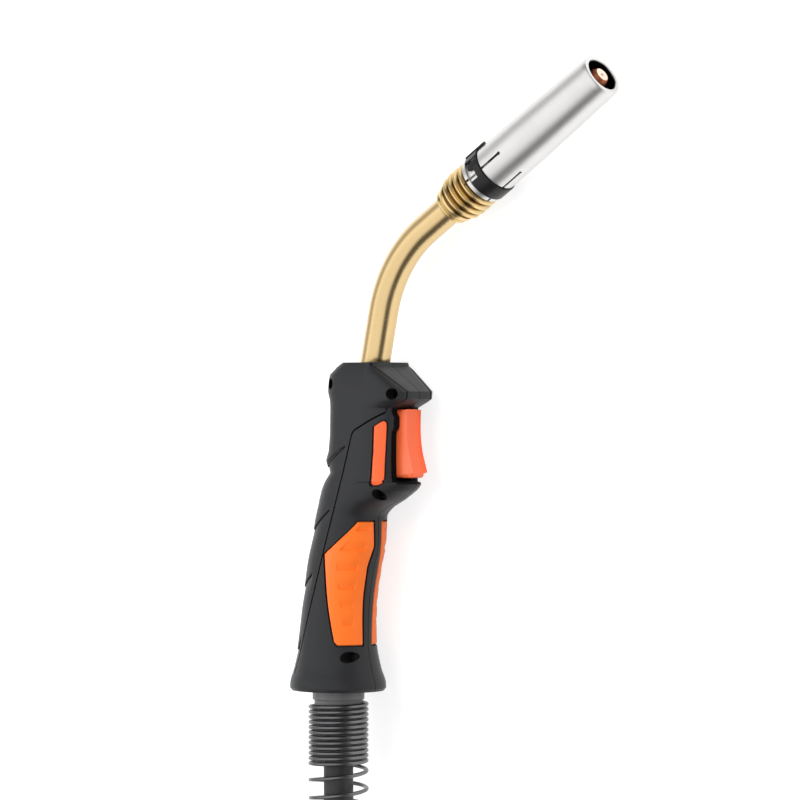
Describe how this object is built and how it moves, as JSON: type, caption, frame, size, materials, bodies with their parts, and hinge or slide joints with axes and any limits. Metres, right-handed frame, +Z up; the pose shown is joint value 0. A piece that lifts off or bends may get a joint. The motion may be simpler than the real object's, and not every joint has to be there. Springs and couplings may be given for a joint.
{
  "type": "mig welding torch",
  "caption": "Air-cooled MIG welding torch: swan neck with a pull-off gas nozzle, two-part handle with a trigger, coiled cable and a central connector plug.",
  "frame": {"origin": "on the table, under the middle of the torch's bounding box, measured without the cable, its springs and tie, and the plug", "axes": "+Z up from the table, +X along the handle from its cable end towards the neck, +Y towards the back of the handle; the torch lies on its left side"},
  "size_m": [0.7661, 0.253, 0.0461],
  "materials": {
    "charcoal_plastic": "fine matt grain",
    "orange_rubber": "satin",
    "red_orange_plastic": "satin",
    "grey_plastic": "satin",
    "black_plastic": "satin",
    "cable_rubber": "matt",
    "white_insulator": "satin",
    "brass": "drawn, satin",
    "copper": "machined",
    "satin_nickel": "satin nickel plating",
    "steel": "machined",
    "black_steel": "black spring steel"
  },
  "bodies": {
    "torch": {"handle_shell_right": "charcoal_plastic", "handle_shell_left": "charcoal_plastic", "rear_cover_right": "charcoal_plastic", "rear_cover_left": "charcoal_plastic", "plug_housing_upper": "charcoal_plastic", "plug_housing_lower": "charcoal_plastic", "grip_pad_right": "orange_rubber", "grip_pad_left": "orange_rubber", "badge_right": "red_orange_plastic", "badge_left": "red_orange_plastic", "cable_bushing": "grey_plastic", "plug_bushing": "grey_plastic", "neck_sleeve": "black_plastic", "switch_body": "black_plastic", "coil_tie": "black_plastic", "plug_face": "black_plastic", "cable": "cable_rubber", "cable_coil": "cable_rubber", "cable_tail": "cable_rubber", "switch_lead_1": "cable_rubber", "switch_lead_2": "cable_rubber", "sealing_ring": "cable_rubber", "nozzle_insulator": "white_insulator", "neck_tube": "brass", "neck_block": "brass", "union_nut": "brass", "cable_ferrule": "brass", "neck_head": "brass", "tip_holder": "brass", "plug_body": "brass", "wire_outlet": "brass", "current_tube": "copper", "contact_tip": "copper", "wire_liner": "steel", "trigger_pin": "steel", "trigger_spring": "steel", "shell_screw_1": "steel", "shell_screw_2": "steel", "shell_screw_3": "steel", "shell_screw_4": "steel", "plug_screw_1": "steel", "plug_screw_2": "steel", "kink_spring": "black_steel", "plug_kink_spring": "black_steel"},
    "trigger": {"trigger": "red_orange_plastic"},
    "plunger": {"switch_plunger": "white_insulator"},
    "nozzle": {"gas_nozzle": "satin_nickel", "nozzle_clip_ring": "black_plastic"},
    "coupling_nut": {"adapter_nut": "black_plastic"},
    "contact_1": {"contact_pin_1": "brass"},
    "contact_2": {"contact_pin_2": "brass"}
  },
  "joints": [
    {"name": "trigger_press", "type": "hinge", "parent": "torch", "child": "trigger", "pos_m": [-0.00176, 0.03004, 0.01737], "axis": [-0.0401, 0, -0.9992], "range_deg": [0, 5.5], "stiffness_Nm_per_rad": 0.6, "springref_deg": -5.73},
    {"name": "switch_plunger_slide", "type": "slide", "parent": "torch", "child": "plunger", "axis": [0, 1, 0], "range_m": [0, 0.002]},
    {"name": "nozzle_pull_off", "type": "slide", "parent": "torch", "child": "nozzle", "axis": [0.5442, -0.8387, -0.0218], "range_m": [0, 0.09]},
    {"name": "coupling_nut_turn", "type": "hinge", "parent": "torch", "child": "coupling_nut", "pos_m": [-0.39236, -0.13469, 0.02306], "axis": [1, 0, 0], "continuous": true},
    {"name": "contact_1_slide", "type": "slide", "parent": "torch", "child": "contact_1", "axis": [-1, 0, 0], "range_m": [0, 0.003], "stiffness_N_per_m": 600, "springref_m": -0.003},
    {"name": "contact_2_slide", "type": "slide", "parent": "torch", "child": "contact_2", "axis": [-1, 0, 0], "range_m": [0, 0.003], "stiffness_N_per_m": 600, "springref_m": -0.003}
  ],
  "couplings": [
    {"joint": "switch_plunger_slide", "follows": "trigger_press", "m_per_rad": 0.0208}
  ]
}
